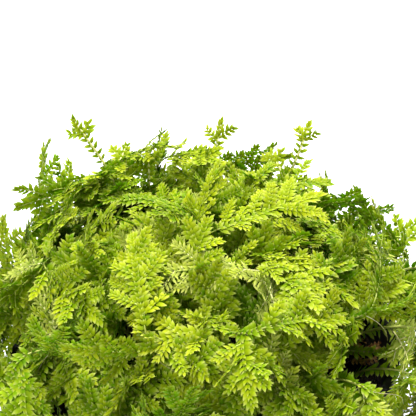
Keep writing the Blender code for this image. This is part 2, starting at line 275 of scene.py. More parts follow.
for k in range(DRAIN_HOLES):
    drill_mesh = bpy.data.meshes.new(f"drill_{k}")
    drill_shape = bmesh.new()
    spot = Matrix.Translation((DRAIN_RING * math.cos(math.tau * k / DRAIN_HOLES),
                               DRAIN_RING * math.sin(math.tau * k / DRAIN_HOLES), 0))
    bmesh.ops.create_cone(drill_shape, cap_ends=True, segments=DRAIN_SIDES, radius1=DRAIN_RADIUS,
                          radius2=DRAIN_RADIUS, depth=4 * POT_FLOOR, matrix=spot)
    drill_shape.to_mesh(drill_mesh)
    drill_shape.free()
    drills.objects.link(bpy.data.objects.new(f"drill_{k}", drill_mesh))
cut = pot.modifiers.new("drain", "BOOLEAN")
cut.operand_type = "COLLECTION"
cut.collection = drills
applied(pot)
for drill in list(drills.objects):
    bpy.data.objects.remove(drill)
bpy.data.collections.remove(drills)
pot.data.shade_smooth()
pot.data.set_sharp_from_angle(angle=SHARP_EDGE)
plastic = Finish("black_polypropylene", 0.4, Specular_IOR_Level=0.5)
stretched = plastic.node("ShaderNodeMapping", {}, {"Vector": plastic.place(), "Scale": (1, 1, 0.06)})
streak_inputs = {"Vector": stretched, "Scale": 900, "Detail": 2}
streaks = plastic.node("ShaderNodeTexNoise", {}, streak_inputs, "Fac")
scuffs = plastic.ranged(plastic.grain(140, 6, 0.7), 0.52, 0.75)
dust = plastic.ranged(plastic.grain(60, 5, 0.6), 0.5, 0.8)
body = plastic.blend(dust * 0.35, (0.012, 0.0125, 0.014, 1), (0.075, 0.07, 0.06, 1))
plastic.set("Base Color", plastic.blend(scuffs * 0.4, body, (0.035, 0.036, 0.038, 1)))
plastic.set("Roughness", 0.34 + 0.14 * streaks + 0.2 * scuffs)
plastic.relief(streaks * 0.6 + plastic.grain(2500, 2), 0.12, 0.0002)
finished(pot, plastic.material, "pot", slot="black_plastic")


# The soil: a dark peat mix, pressed in by hand to a finger's width under the lip. Its top is a crust of
# crumbs, fibres and holes, and it is dry and brown on the high spots and near black between them.
SOIL_TOP = POT_HEIGHT - 11 * MM
SOIL_RINGS = 70
SOIL_SECTORS = 170
SOIL_GAP = 0.4 * MM
SOIL_SETTLED = 0.6 * MM
LUMPS = (60, 1.4 * MM)
GRIT = (420, 1.5 * MM)
CRUMBS = 420
CRUMB_SIZE = 0.8 * MM
CRUMB_SEED = 11
soil_radius = wall_radius(SOIL_TOP) - POT_WALL - SOIL_GAP


def soil_height(x, y):
    """The crust's height at a point. Lumps and grit each have a number a metre and a height."""
    spot = Vector((x, y, 0))
    lumps = noise.noise(spot * LUMPS[0]) * LUMPS[1]
    grit = noise.turbulence(spot * GRIT[0], 3, True) * GRIT[1]
    return SOIL_TOP - SOIL_SETTLED + lumps + grit


soil_points = [(0, 0, soil_height(0, 0))]
for ring in range(1, SOIL_RINGS + 1):
    radius = soil_radius * ring / SOIL_RINGS
    for sector in range(SOIL_SECTORS):
        angle = math.tau * sector / SOIL_SECTORS
        x, y = radius * math.cos(angle), radius * math.sin(angle)
        soil_points.append((x, y, soil_height(x, y)))
foot = POT_FLOOR + SOIL_GAP
foot_radius = wall_radius(foot) - POT_WALL - SOIL_GAP
for sector in range(SOIL_SECTORS):
    angle = math.tau * sector / SOIL_SECTORS
    soil_points.append((foot_radius * math.cos(angle), foot_radius * math.sin(angle), foot))
soil_faces = []
for sector in range(SOIL_SECTORS):
    after = (sector + 1) % SOIL_SECTORS
    soil_faces.append((0, 1 + sector, 1 + after))
    for ring in range(SOIL_RINGS):
        row, below = 1 + ring * SOIL_SECTORS, 1 + (ring + 1) * SOIL_SECTORS
        soil_faces.append((row + sector, below + sector, below + after, row + after))
last_row = 1 + SOIL_RINGS * SOIL_SECTORS
soil_faces.append(tuple(reversed(range(last_row, last_row + SOIL_SECTORS))))
soil_mesh = bpy.data.meshes.new("peat_soil")
soil_mesh.from_pydata(soil_points, [], soil_faces)
soil = bpy.data.objects.new("peat_soil", soil_mesh)
home.objects.link(soil)
peat = Finish("peat", 0.95)
fine = peat.grain(1800, 4, 0.7)
coarse = peat.ranged(peat.grain(260, 4, 0.6), 0.35, 0.7)
dark = peat.blend(coarse, (0.006, 0.005, 0.004, 1), (0.045, 0.028, 0.016, 1))
peat.set("Base Color", peat.blend(peat.ranged(fine, 0.5, 0.75) * 0.5, dark, (0.12, 0.08, 0.045, 1)))
peat.relief(fine + coarse * 0.5, 0.5, 0.0006)
finished(soil, peat.material, "soil", slot="potting_soil")

crumb_rng = random.Random(CRUMB_SEED)
# Blender seeds noise_vector from the clock, and the crumbs have to come out alike in each run.
noise.seed_set(CRUMB_SEED)
crumb_shape = bmesh.new()
for _ in range(CRUMBS):
    radius = soil_radius * math.sqrt(crumb_rng.random()) * 0.97
    angle = crumb_rng.uniform(0, math.tau)
    x, y = radius * math.cos(angle), radius * math.sin(angle)
    size = crumb_rng.lognormvariate(-0.3, 0.4) * CRUMB_SIZE
    turned = Matrix.Rotation(crumb_rng.uniform(0, math.tau), 4, Vector((x, y, 1)).normalized())
    squash = Matrix.Diagonal((1, crumb_rng.uniform(0.5, 1), crumb_rng.uniform(0.4, 0.8), 1))
    spot = Matrix.Translation((x, y, soil_height(x, y) + size * 0.2)) @ turned @ squash
    made = bmesh.ops.create_icosphere(crumb_shape, subdivisions=1, radius=size, matrix=spot)
    for vert in made["verts"]:
        vert.co += noise.noise_vector(vert.co * 900) * size * 0.5
crumb_mesh = bpy.data.meshes.new("soil_crumbs")
crumb_shape.to_mesh(crumb_mesh)
crumb_shape.free()
crumbs = bpy.data.objects.new("soil_crumbs", crumb_mesh)
home.objects.link(crumbs)
finished(crumbs, peat.material, slot="potting_soil")


# The sprays' stems: thin and wiry, rooted in the peat, each forking into one to three flat blades. The
# frame holds them as solids. Each was drawn by the rule below from a seed, and the draw that made one
# is known by its blades' tips, which are corners of its node.
ROOT_DEPTH = 7 * MM
HOLE_RADIUS = 1.15 * MM
MOUND_RADIUS = 61 * MM
MOUND_HEIGHT = 48.5 * MM
MOUND_LOWEST = math.radians(103)
OVERHANG = math.radians(78)
ROOT_SPREAD = 39 * MM
SPRAYS = 50
GOLDEN_ANGLE = math.pi * (3 - math.sqrt(5))
SEED = 5171
LEAF_STEP = 4.7 * MM
LEAF_REACH = 10 * MM
LEAF_SWEEP = math.radians(56)
LEAF_RAISE = 0.14
RIB_INSET = 0.7 * MM
MAIN_PAIRS = 5
SIDE_PAIRS = 3
SIDE_ANGLE = math.radians(48)
SIDE_PITCH = math.radians(14)
STEM_STOPS = (0, 0.4, 0.72, 0.9, 1)
LEAD = 14 * MM
LEAST_RISE = 7 * MM
LIP_REACH = 12 * MM
SIDE_SIZE = 0.92
TIP_LEAF = 0.62
TRIES = 900
NEAREST_MISS = 0.6 * MM
Blade = namedtuple("Blade", "start along up length bend pairs size")
Spray = namedtuple("Spray", "name stem blades bow")
# Sprays placed one by one, in mm: those that stand out of the mound's top, and two at the cleft. Each
# has its root, the start of its main blade, that blade's direction and upper side, size and side blades.
PLACED = [
    ("sprig_left", (-22, 20), (-28, 33, 127), (-0.48, 0.0, 0.88), (0.25, -0.9, 0.2), 0.5, 1),
    ("sprig_right", (16, 24), (25, 37, 122), (0.35, 0.0, 0.94), (-0.15, -0.95, 0.15), 0.44, 1),
    ("sprig_peak", (-1, 24), (1, 39, 119), (0.1, 0.0, 0.98), (0.0, -0.98, 0.1), 0.5, 2),
    ("sprig_crest", (-14, 18), (-15, 32, 117), (-0.02, 0.0, 0.98), (0.1, -0.97, 0.1), 0.48, 2),
    ("cleft_runner", (27, -6), (45, -12, 95.8), (0.94, -0.2, 0.13), (-0.13, -0.1, 0.98), 0.45, 0),
    ("cleft_hanger", (33, 20), (40, 9, 112), (0.35, -0.62, -0.62), (0.1, -0.6, 0.75), 0.52, 1),
]


def curve_points(start, lift, lead, end, stops):
    """Points along one smooth bend from start to end, leaving towards lift and arriving from lead."""
    points = []
    for t in stops:
        s = 1 - t
        points.append(start * s**3 + lift * (3 * s * s * t) + lead * (3 * s * t * t) + end * t**3)
    return points


def station(blade, distance):
    """The rib's point and directions this far along a blade, which bends down like a bow."""
    turn = blade.bend * distance / blade.length
    radius = blade.length / blade.bend
    along = blade.along * math.cos(turn) - blade.up * math.sin(turn)
    up = blade.up * math.cos(turn) + blade.along * math.sin(turn)
    point = blade.start + blade.along * (radius * math.sin(turn))
    point -= blade.up * (radius * (1 - math.cos(turn)))
    return point, along, up, along.cross(up)


def blade_tip(blade):
    """The end of the leaf at a blade's tip."""
    point, along, _, _ = station(blade, blade.length)
    return point + along * (LEAF_REACH * blade.size * TIP_LEAF)


def side_blade(stem, place, up, hand, size, bend):
    """A blade that leaves the stem just before one of its points, to one side and pitched down."""
    flow = (stem[place] - stem[place - 1]).normalized()
    start = stem[place].lerp(stem[place - 1], 0.35)
    level = (up - flow * up.dot(flow)).normalized()
    side = flow.cross(level)
    along = flow * math.cos(SIDE_ANGLE) + side * (hand * math.sin(SIDE_ANGLE))
    pitched = (along * math.cos(SIDE_PITCH) - level * math.sin(SIDE_PITCH)).normalized()
    top = (level - pitched * level.dot(pitched)).normalized()
    return Blade(start, pitched, top, (SIDE_PAIRS + 1.1) * LEAF_STEP * size, bend, SIDE_PAIRS, size)


def fork(name, root, base, along, up, rng, size, sides=2):
    """A spray with its stem rooted at root, whose main blade starts at base."""
    height = max(base.z, POT_HEIGHT + LEAST_RISE) - root.z
    far = math.hypot(base.x, base.y) > POT_TOP_RADIUS - LIP_REACH
    lift = root + UP * (height * (0.8 if far else 0.5))
    lead = base - along * (LEAD * size)
    foot = Vector((root.x, root.y, SOIL_TOP - ROOT_DEPTH))
    stem = [foot] + curve_points(root, lift, lead, base, STEM_STOPS)
    length = (MAIN_PAIRS + 1) * LEAF_STEP * size
    start = base - along * RIB_INSET
    bend = math.radians(rng.uniform(12, 40))
    blades = [Blade(start, along, up, length, bend, MAIN_PAIRS, size)]
    hand = rng.choice((-1, 1))
    for place in (-2, -3)[:sides]:
        bend = math.radians(rng.uniform(10, 35))
        blades.append(side_blade(stem, place, up, hand, SIDE_SIZE * size, bend))
        hand = -hand
    return Spray(name, stem, blades, (root, lift, lead, base))


def on_mound(theta, phi, lift):
    """A point of the mound's skin, with its outward and downhill directions."""
    round_about = Vector((math.cos(phi), math.sin(phi), 0))
    radius = MOUND_RADIUS + lift
    height = MOUND_HEIGHT + lift
    point = round_about * (radius * math.sin(theta)) + UP * (height * math.cos(theta) + POT_HEIGHT)
    outward = (round_about * (math.sin(theta) / radius) + UP * (math.cos(theta) / height)).normalized()
    across = UP.cross(round_about)
    return point, outward, across.cross(outward).normalized()


def draw_spray(name, rng, theta, phi, root, ease):
    """One seeded draw of a spray whose main blade lies across the mound's skin."""
    if theta < OVERHANG:
        lift = rng.uniform(-11 * MM, 1.5 * MM) - ease * rng.uniform(0, 14 * MM)
    else:
        lift = rng.uniform(-1 * MM, 4 * MM)
    middle, outward, downhill = on_mound(theta + rng.gauss(0, 0.05), phi + rng.gauss(0, 0.05), lift)
    across = outward.cross(downhill)
    heading = rng.gauss(0, 1.15 if theta < OVERHANG else 0.7)
    level = downhill * math.cos(heading) + across * math.sin(heading)
    rise = rng.uniform(-0.1, 0.35) + 0.25 * max(0, math.cos(theta))
    along = (level * math.cos(rise) + outward * math.sin(rise)).normalized()
    up = (outward - along * outward.dot(along)).normalized()
    up = Matrix.Rotation(rng.gauss(0, 0.3), 3, along) @ up
    size = rng.uniform(0.85, 1.08) * (1 - 0.3 * ease)
    base = middle - along * (MAIN_PAIRS * LEAF_STEP * size * 0.5)
    return fork(name, root, base, along, up, rng, size)


def placed_spray(rng, name, root, base, along, up, size, sides):
    """A listed spray, with its bends and the side of its blades drawn."""
    foot = Vector((root[0] * MM, root[1] * MM, SOIL_TOP))
    base = Vector(base) * MM + Vector([rng.gauss(0, 0.7 * MM) for _ in range(3)])
    along = Vector(along).normalized()
    up = Vector(up)
    up = (up - along * up.dot(along)).normalized()
    return fork(name, foot, base, along, up, rng, size, sides)


def mound_sprays():
    """For each spray of the mound, its name, where its blade lies and where its stem is rooted."""
    for k in range(SPRAYS):
        share = (k + 0.5) / SPRAYS
        theta = math.acos(1 - share * (1 - math.cos(MOUND_LOWEST)))
        phi = k * GOLDEN_ANGLE
        spread = ROOT_SPREAD * math.sqrt(share)
        root = Vector((spread * math.cos(phi), spread * math.sin(phi), SOIL_TOP))
        for _, (x, y), *_ in PLACED:
            if math.hypot(root.x - x * MM, root.y - y * MM) < 3 * HOLE_RADIUS:
                root += Vector((root.x, root.y, 0)).normalized() * (3 * HOLE_RADIUS)
        yield f"spray_{k + 1:02d}", theta, phi, root


def matching(name, seed, draw):
    """The draw whose blade tips are corners of the node of this name."""
    corners = frame["nodes"][name].data.vertices
    tree = KDTree(len(corners))
    for k, corner in enumerate(corners):
        tree.insert(corner.co, k)
    tree.balance()
    draws = [draw(random.Random(seed + attempt), attempt / TRIES) for attempt in range(TRIES)]
    misses = [max(tree.find(blade_tip(blade))[2] for blade in spray.blades) for spray in draws]
    best = min(range(TRIES), key=misses.__getitem__)
    if misses[best] > NEAREST_MISS:
        raise ValueError(f"no draw fits {name}: the nearest misses by {misses[best] / MM:.2f} mm")
    return draws[best]


sprays = []
for k, placed in enumerate(PLACED):
    seed = SEED * (k + 1)
    sprays.append(matching(placed[0], seed, lambda rng, ease: placed_spray(rng, *placed)))
for k, (name, theta, phi, root) in enumerate(mound_sprays()):
    if name in frame["nodes"]:
        seed = SEED + 1000 * k
        sprays.append(matching(name, seed, lambda rng, ease: draw_spray(name, rng, theta, phi, root, ease)))


# The fronds: each blade branches again in its own plane, and every branchlet carries two rows of flat
# side leaves and two rows of small ones along its top. The leaves are a few cells thick, so light comes
# through them: lime at the crowded tips, green further down, and straw where old sun has bleached them.
# Each leaf has painted shade at its base and a painted highlight at its tip.
LEAF_LENGTH = 3.3 * MM
PINNA_LEAF = 2.65 * MM
STEM_LEAF = 0.9 * LEAF_LENGTH
SPRIG_LEAF = 2.5 * MM
SPRIG_SPACING = 0.75
SPRIG_FAN = 1.3
SPRIG_STEM = (0.42 * MM, 0.2 * MM)
LEAF_WIDTH = 0.46
BLEACHED = 1.75
BLEACHED_SHARE = 0.12
TOP_PALER = 0.45
BLEACHED_CURL = 0.4
TOP_LEAF = 0.62
TWIG_RADIUS = 0.2 * MM
STEM_ROWS = 26
STEM_BASE = 0.42 * MM
STEM_END = 0.26 * MM
RIB_ROWS = 16
LEAF_EDGE = math.radians(100)
LEAF_SPACING = 0.48
TWIG_TAPER = (1.2, 0.5)
SHORT_TWIG = 12 * MM
# The angle of side leaves and top leaves to their twig, in degrees, and how much less it is in a fan.
SIDE_TURN = (62, 36)
TOP_TURN = (25, 10)
# A direction that no stem follows, from which the turn of its corners is measured.
ODD_WAY = (0.31, 0.11, 0.94)
# The cleft: a hollow between the fronds at the right, just inside the lip, where bare peat shows.
CLEFT_FLOOR = Vector((39 * MM, 11 * MM, SOIL_TOP))
CLEFT_WIDTH = 9 * MM
CLEFT_RISE = 4 * MM
CLEFT_SIDES = 2.2
CROSSING_LOWEST = 0.12
Template = namedtuple("Template", "points faces pale")


def leaf_template(edge, ridge):
    """A thin closed leaf: its edge points, along and across, and a ridge above. It is flat below."""
    points = [(x, y, -0.02 - 0.08 * x * x) for x, y in edge] + [(ridge, 0, 0.03)]
    count = len(edge)
    top = [(k, count, (k + 1) % count) for k in range(count)]
    under = [(0, k, k + 1) for k in range(1, count - 1)]
    # How far along the leaf each corner is, which sets its painted light: painted shade at the base, a
    # painted highlight at the tip.
    pale = [x for x, y in edge] + [0.4]
    return Template(np.array(points), np.array(top + under), np.array(pale))


SIDE_EDGE = [(0, 0), (0.22, 0.46), (0.64, 0.44), (1, 0.04), (0.62, -0.38), (0.22, -0.42)]
SIDE_LEAF = leaf_template(SIDE_EDGE, 0.45)
SMALL_LEAF = leaf_template([(0, 0), (0.38, 0.55), (1, 0), (0.38, -0.55)], 0.42)


def unit(rows):
    """Rows of vectors, each brought to a length of 1."""
    return rows / np.maximum(np.linalg.norm(rows, axis=-1, keepdims=True), 1e-9)


class Growth:
    """Gathers a spray's leaves and stems as arrays, and then builds one mesh of them."""

    def __init__(self):
        self.points, self.faces, self.looks, self.woody = [], [], [], []
        self.count = 0

    def add(self, points, faces, looks, woody):
        """Corners, triangles, each corner's age, tone and painted light, and whether they are stem."""
        self.points.append(points)
        self.faces.append(faces + self.count)
        self.looks.append(looks)
        self.woody.append(np.full(len(faces), woody))
        self.count += len(points)

    def leaves(self, template, origin, along, face_up, length, age, tone):
        """Many leaves at once, from rows of origins, directions, upper sides, sizes, ages and tones."""
        across = np.cross(face_up, along)
        shape = template.points[None] * length[:, None, None]
        shape[:, :, 1] *= (LEAF_WIDTH * (1 - BLEACHED_CURL * np.clip(tone - 1, 0, 1)))[:, None]
        points = origin[:, None] + along[:, None] * shape[:, :, :1]
        points = points + across[:, None] * shape[:, :, 1:2] + face_up[:, None] * shape[:, :, 2:]
        corners = len(template.points)
        faces = template.faces[None] + (np.arange(len(origin)) * corners)[:, None, None]
        pale = np.tile(template.pale, len(origin))
        looks = np.stack([np.repeat(age, corners), np.repeat(tone, corners), pale], 1)
        self.add(points.reshape(-1, 3), faces.reshape(-1, 3), looks, False)

    def tube(self, line, radii, age, sides, tone=0.5):
        """A round stem along a line of points, closed at both ends."""
        flow = unit(np.gradient(line, axis=0))
        side = unit(np.cross(flow, ODD_WAY))
        other = np.cross(flow, side)
        angles = np.arange(sides) * math.tau / sides
        ring = side[:, None] * np.cos(angles)[:, None] + other[:, None] * np.sin(angles)[:, None]
        points = (line[:, None] + ring * np.asarray(radii)[:, None, None]).reshape(-1, 3)
        faces = []
        for row in range(0, (len(line) - 1) * sides, sides):
            for k in range(sides):
                a, b = row + k, row + (k + 1) % sides
                faces += [(a, b, b + sides), (a, b + sides, a + sides)]
        last = (len(line) - 1) * sides
        for k in range(1, sides - 1):
            faces += [(0, k + 1, k), (last, last + k, last + k + 1)]
        self.add(points, np.array(faces), np.tile((age, tone, 0.5), (len(points), 1)), True)

    def build(self, name):
        """The piece that has grown, as one mesh."""
        points = np.concatenate(self.points)
        faces = np.concatenate(self.faces)
        looks = np.concatenate(self.looks)
        mesh = bpy.data.meshes.new(name)
        mesh.vertices.add(len(points))
        mesh.vertices.foreach_set("co", points.astype(np.float32).ravel())
        mesh.loops.add(3 * len(faces))
        mesh.loops.foreach_set("vertex_index", faces.astype(np.int32).ravel())
        mesh.polygons.add(len(faces))
        mesh.polygons.foreach_set("loop_start", np.arange(0, 3 * len(faces), 3, dtype=np.int32))
        mesh.polygons.foreach_set("material_index", np.concatenate(self.woody).astype(np.int32))
        for column, look_name in enumerate(("age", "tone", "pale")):
            layer = mesh.attributes.new(look_name, "FLOAT", "POINT")
            layer.data.foreach_set("value", looks[:, column].astype(np.float32))
        mesh.update(calc_edges=True)
        mesh.shade_smooth()
        mesh.set_sharp_from_angle(angle=LEAF_EDGE)
        piece = bpy.data.objects.new(name, mesh)
        home.objects.link(piece)
        return piece


def rib_line(start, along, up, length, bend, sway):
    """Points and directions along a branchlet that bends down and swings to one side."""
    side = np.cross(along, up)
    share = np.linspace(0, 1, RIB_ROWS)[:, None]
    flow = along * np.cos(bend * share) - up * np.sin(bend * share)
    flow = unit(flow + side * np.tan(sway * share))
    steps = 0.5 * (flow[1:] + flow[:-1]) * (length / (RIB_ROWS - 1))
    line = np.concatenate([start[None], start + np.cumsum(steps, 0)])
    over = unit(up - flow * (flow @ up)[:, None])
    return line, flow, over


def leafy(growth, rng, rib, length, leaf, age, mood, lead=0.1, fan=1, spacing=LEAF_SPACING):
    """One branchlet: a thin stem with side leaves and top leaves, which crowd into a fan at its tip."""
    line, flow, over = rib
    radii = TWIG_RADIUS * np.linspace(*TWIG_TAPER, RIB_ROWS)
    step = 3 if length < SHORT_TWIG else 2
    rows = list(range(0, RIB_ROWS - 1, step)) + [RIB_ROWS - 1]
    growth.tube(line[rows], radii[rows], age, 4, mood)
    stops = []
    place = lead
    while place < 1:
        stops.append(place)
        place += spacing * leaf * (1 - 0.5 * fan * place**3) / length
    stops = np.array(stops)
    low = np.minimum((stops * (RIB_ROWS - 1)).astype(int), RIB_ROWS - 2)
    part = (stops * (RIB_ROWS - 1) - low)[:, None]
    spots = line[low] * (1 - part) + line[low + 1] * part
    flows = unit(flow[low] * (1 - part) + flow[low + 1] * part)
    overs = unit(over[low] * (1 - part) + over[low + 1] * part)
    sides = np.cross(flows, overs)
    wander = np.random.default_rng(rng.getrandbits(32)).normal(0, 1, (12, len(stops)))
    crowd = fan * stops**4
    swell = leaf * (0.86 + 0.16 * np.sin(math.pi * stops)) * (1 - 0.06 * crowd)
    ages = np.clip(age * (1 - 0.7 * stops), 0, 1)
    for row, hand in ((0, -1), (6, 1)):
        turn = np.radians(SIDE_TURN[0] - SIDE_TURN[1] * crowd) + 0.1 * wander[row]
        direction = flows * np.cos(turn)[:, None] + sides * (hand * np.sin(turn))[:, None]
        direction = unit(direction + overs * (0.06 + 0.13 * wander[row + 1] + 0.3 * crowd)[:, None])
        face_up = unit(overs - direction * np.sum(overs * direction, 1)[:, None])
        face_up = unit(face_up + np.cross(direction, face_up) * (0.22 * wander[row + 2])[:, None])
        lengths = swell * (1 + 0.06 * wander[row + 3])
        tones = np.clip(mood + 0.2 * wander[row + 4], 0, 2)
        bases = spots + flows * (0.12 * leaf * hand)
        growth.leaves(SIDE_LEAF, bases, direction, face_up, lengths, ages, tones)
        turn = np.radians(TOP_TURN[0] - TOP_TURN[1] * crowd) + 0.08 * wander[row + 5]
        direction = flows * np.cos(turn)[:, None] + sides * (hand * np.sin(turn))[:, None]
        direction = unit(direction + overs * (0.28 + 0.08 * wander[row])[:, None])
        face_up = unit(overs - direction * np.sum(overs * direction, 1)[:, None])
        bases = spots + overs * (0.7 * TWIG_RADIUS) + flows * (0.1 * leaf)
        growth.leaves(SMALL_LEAF, bases, direction, face_up, TOP_LEAF * lengths, ages, tones)


def in_cleft(point, spread=1):
    """Whether a point hides the cleft's floor from the front, or what spreads this much wider."""
    offset = point - CLEFT_FLOOR
    if offset.dot(look) > 0:
        return False
    rise = offset.dot(look.cross(picture_right))
    return (offset.x / CLEFT_WIDTH) ** 2 + (rise / CLEFT_RISE) ** 2 < spread ** 2


def leafy_stem(growth, rng, spray, mood):
    """Leaves on the upper part of a spray's own stem, and down to its foot where it crosses the cleft."""
    middle = curve_points(*spray.bow, (0.3, 0.45, 0.6, 0.75))
    crossing = any(in_cleft(point, CLEFT_SIDES) for point in middle)
    lowest = CROSSING_LOWEST if crossing else rng.uniform(0.4, 0.65)
    leafy_part = curve_points(*spray.bow, np.linspace(lowest, 1, RIB_ROWS))
    line = np.array([tuple(point) for point in leafy_part])
    flow = unit(np.gradient(line, axis=0))
    up = np.array(spray.blades[0].up)
    over = unit(up - flow * (flow @ up)[:, None])
    length = np.linalg.norm(line[1:] - line[:-1], axis=1).sum()
    leafy(growth, rng, (line, flow, over), length, STEM_LEAF, 0.9, mood, 0.02, 0)


def grow_blade(growth, rng, blade, age, mood, lowest=0):
    """A blade grown out in full: a leafy rib, and from its lowest pair on, branchlets on both sides."""
    start, along, up = (np.array(v) for v in (blade.start, blade.along, blade.up))
    longest = LEAF_REACH * blade.size
    length = blade.length + 0.5 * longest
    rib = rib_line(start, along, up, length, blade.bend * length / blade.length, rng.gauss(0, 0.06))
    leaf = LEAF_LENGTH * rng.uniform(0.92, 1.06)
    if lowest:
        leafy(growth, rng, rib, length, SPRIG_LEAF, age, mood, 0.05, SPRIG_FAN, SPRIG_SPACING)
        growth.tube(rib[0], np.linspace(*SPRIG_STEM, RIB_ROWS), 0.2, 6, BLEACHED)
    else:
        leafy(growth, rng, rib, length, leaf, age, mood)
    line, flow, over = rib
    step = LEAF_STEP * blade.size
    shift = rng.choice((-1, 1)) * 0.2 * step
    for k in range(lowest, blade.pairs):
        reach = longest * (0.62 + 0.38 * math.sin(math.pi * (0.15 + 0.7 * (k + 0.5) / blade.pairs)))
        for hand in (-1, 1):
            distance = blade.length - (blade.pairs - k - 0.3) * step + hand * shift
            low = min(int(distance / length * (RIB_ROWS - 1)), RIB_ROWS - 2)
            side = np.cross(flow[low], over[low])
            turn = LEAF_SWEEP * rng.uniform(0.8, 1.06)
            outward = flow[low] * math.cos(turn) + side * (hand * math.sin(turn))
            outward = unit(outward + over[low] * rng.gauss(LEAF_RAISE, 0.26))
            top = over[low] + np.cross(outward, over[low]) * rng.gauss(0, 0.45)
            top = unit(top - outward * (top @ outward))
            span = reach * rng.uniform(0.74, 1.12)
            bend = rng.uniform(0.1, 0.6)
            pinna = rib_line(line[low], outward, top, span, bend, -hand * rng.uniform(0, 0.35))
            tint = max(mood + rng.gauss(0, 0.1), 0)
            leafy(growth, rng, pinna, span, PINNA_LEAF * rng.uniform(0.9, 1.1), age * 0.6, tint, 0.16)


greens = Finish("spikemoss_leaf", 0.45, Specular_IOR_Level=0.05)
age = greens.grown("age")
tone = greens.grown("tone")
pale = greens.grown("pale")
bleached = greens.ranged(tone, 1.1, 1.9)
lime = greens.blend(tone, (0.22, 0.40, 0.002, 1), (0.66, 0.69, 0.012, 1))
deep = greens.blend(tone, (0.035, 0.15, 0.001, 1), (0.12, 0.30, 0.003, 1))
leaf_colour = greens.blend(age * 0.8 + greens.ranged(greens.grain(55, 2), 0.35, 0.65) * 0.2, lime, deep)
leaf_colour = greens.blend(bleached * 0.7, leaf_colour, (0.66, 0.68, 0.16, 1))
# Painted shade: the inner part of each leaf is darkened towards dark green, most at its base, where
# neighbouring leaves overlap it.
shaded = greens.blend(0.6 - pale, leaf_colour, (0.03, 0.13, 0.001, 1))
# Painted highlight: the outer half of each leaf is lightened towards pale yellow, most at its tip.
leaf_colour = greens.blend(greens.ranged(pale, 0.5, 1, 0.5), shaded, (0.84, 0.80, 0.27, 1))
greens.set("Base Color", leaf_colour)
greens.relief(greens.grain(9000, 2), 0.15, 0.00008)
output = next(node for node in greens.tree.nodes if node.type == "OUTPUT_MATERIAL")
through = greens.node("ShaderNodeBsdfTranslucent", {}, {"Color": (0.29, 0.54, 0.003, 1)})
surface = Link(greens, greens.shader.outputs[0])
thin = greens.node("ShaderNodeMixShader", {}, {0: 0.45, 1: surface, 2: through})
greens.feed(output.inputs["Surface"], thin)

stalk = Finish("spikemoss_stem", 0.5, Specular_IOR_Level=0.35)
stalk_colour = stalk.blend(stalk.grown("age"), (0.42, 0.56, 0.04, 1), (0.30, 0.33, 0.07, 1))
stalk_bleached = stalk.ranged(stalk.grown("tone"), 1.1, 1.7)
stalk_colour = stalk.blend(stalk_bleached, stalk_colour, (0.68, 0.68, 0.26, 1))
knots = stalk.ranged(stalk.grain(400, 3), 0.4, 0.7)
stalk.set("Base Color", stalk.blend(knots * 0.35, stalk_colour, (0.36, 0.32, 0.10, 1)))


def leaved(piece, *nodes):
    """Give a leafy piece its leaf and stem finishes, and hide the solid that it stands for."""
    piece.data.materials.append(greens.material)
    piece.data.materials.append(stalk.material)
    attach(piece, "root")
    if nodes:
        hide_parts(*nodes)


def spray_mood(rng):
    """A spray's tone, from green at 0 to lime at 1, or near 2 if old sun has bleached it."""
    return BLEACHED if rng.random() < BLEACHED_SHARE else min(max(rng.gauss(0.42, 0.25), 0.12), 1)


def lit_mood(mood, place):
    """The tone of a frond that starts at this place. Those near the mound's top are painted paler, as
    painted light from above.
    """
    height = max(place.z - POT_HEIGHT, 0) / MOUND_HEIGHT
    return mood if mood > 1 else min(mood + TOP_PALER * height, 1)


grown = []
for number, spray in enumerate(sprays):
    rng = random.Random(SEED + 31 * number)
    growth = Growth()
    bow = curve_points(*spray.bow, np.linspace(0, 1, STEM_ROWS))
    line = np.array([tuple(point) for point in [spray.stem[0]] + bow])
    growth.tube(line, np.linspace(STEM_BASE, STEM_END, len(line)), 0.8, 6)
    mood = spray_mood(rng)
    leafy_stem(growth, rng, spray, mood)
    for blade in spray.blades:
        lowest = blade.pairs - 1 if spray.name.startswith("sprig") else 0
        grow_blade(growth, rng, blade, rng.uniform(0.2, 0.7), lit_mood(mood, blade.start), lowest)
    grown.append((spray, rng, growth))


# The second storey: younger, smaller fronds that fork off the same stems and fill the mound where it
# lies thin. Thin places are found by counting what grows in each patch of the mound, as it is seen from
# the mound's middle.
PATCH = math.radians(5)
SECOND_STOREY = 215
CANDIDATES = 26
SPOTS_A_STEP = 5
STOREY_LEVELS = (-20 * MM, 2 * MM)
# How far a leaf keeps over the lip or outside it, inside which it may reach down, and over the soil.
OVER_LIP = 1.2 * MM
OUTSIDE_LIP = 1.4 * MM
INSIDE_LIP = 6 * MM
OVER_SOIL = 2 * MM
# Gaps between the fronds at the right, as seen from the front: half their width and height, and their
# places in mm right of and above the lip's centre.
GAP_SIZE = (2.2 * MM, 3.2 * MM)
GAPS = ((50, 4), (53.5, -6), (55, -12), (50, -18.5), (37.5, 31.5))
# Places at the lip where those fronds leave the pot bare, in mm. Two more fronds hang over each.
BARE = ((-56, -2, 91), (-57, 4, 87), (-57, -7, 84))
BARE_TRIES = 500
counts = {}


def mound_patch(point):
    """The patch that a point lies in, and how far outside the mound's skin it is."""
    x, y = point[0] / MOUND_RADIUS, point[1] / MOUND_RADIUS
    z = (point[2] - POT_HEIGHT) / MOUND_HEIGHT
    level = math.sqrt(x * x + y * y + z * z)
    theta = math.acos(max(-1, min(1, z / level)))
    row = int(theta / PATCH)
    around = max(1, round(math.tau * math.sin((row + 0.5) * PATCH) / PATCH))
    column = int((math.atan2(y, x) / math.tau + 0.5) * around) % around
    return (row, column), (level - 1) * MOUND_RADIUS


